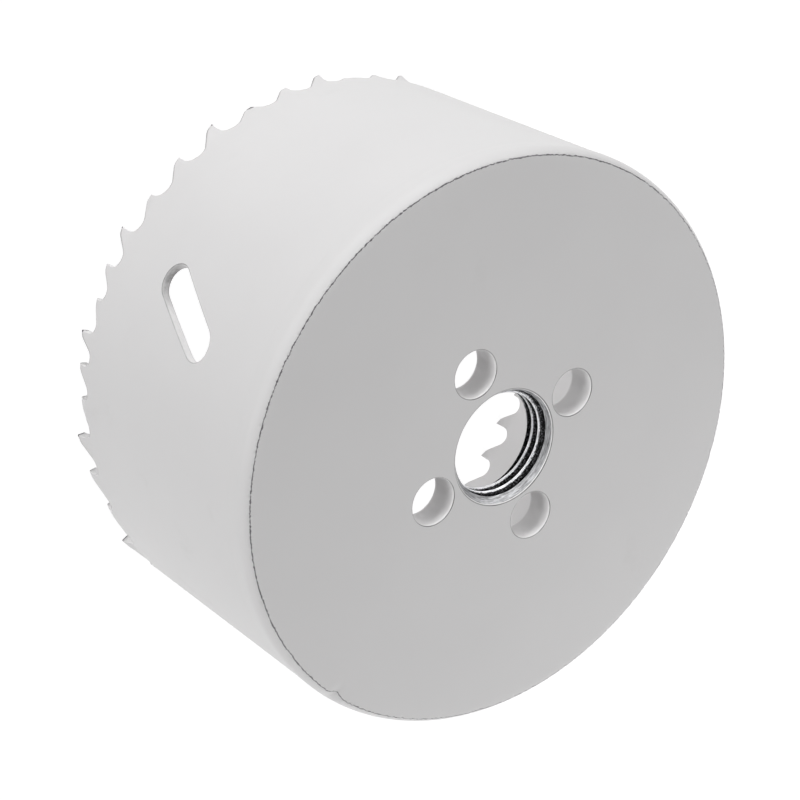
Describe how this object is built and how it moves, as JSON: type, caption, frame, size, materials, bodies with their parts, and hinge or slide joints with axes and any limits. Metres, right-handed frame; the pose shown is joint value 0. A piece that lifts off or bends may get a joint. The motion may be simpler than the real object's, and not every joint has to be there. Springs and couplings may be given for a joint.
{
  "type": "hole saw",
  "caption": "Hole saw: a white-painted toothed steel cup under a round end cap with a threaded arbor hole and drive-pin holes.",
  "frame": {"origin": "on the cup's axis, in the plane of the tooth tips", "axes": "+Z along the axis from the tooth tips to the cap's outer face; +X and +Y through the centres of two drive-pin holes"},
  "size_m": [0.0825, 0.0825, 0.0433],
  "materials": {
    "painted_steel": "satin"
  },
  "bodies": {
    "root": {"end_cap": "painted_steel", "cup": "painted_steel"}
  },
  "joints": []
}
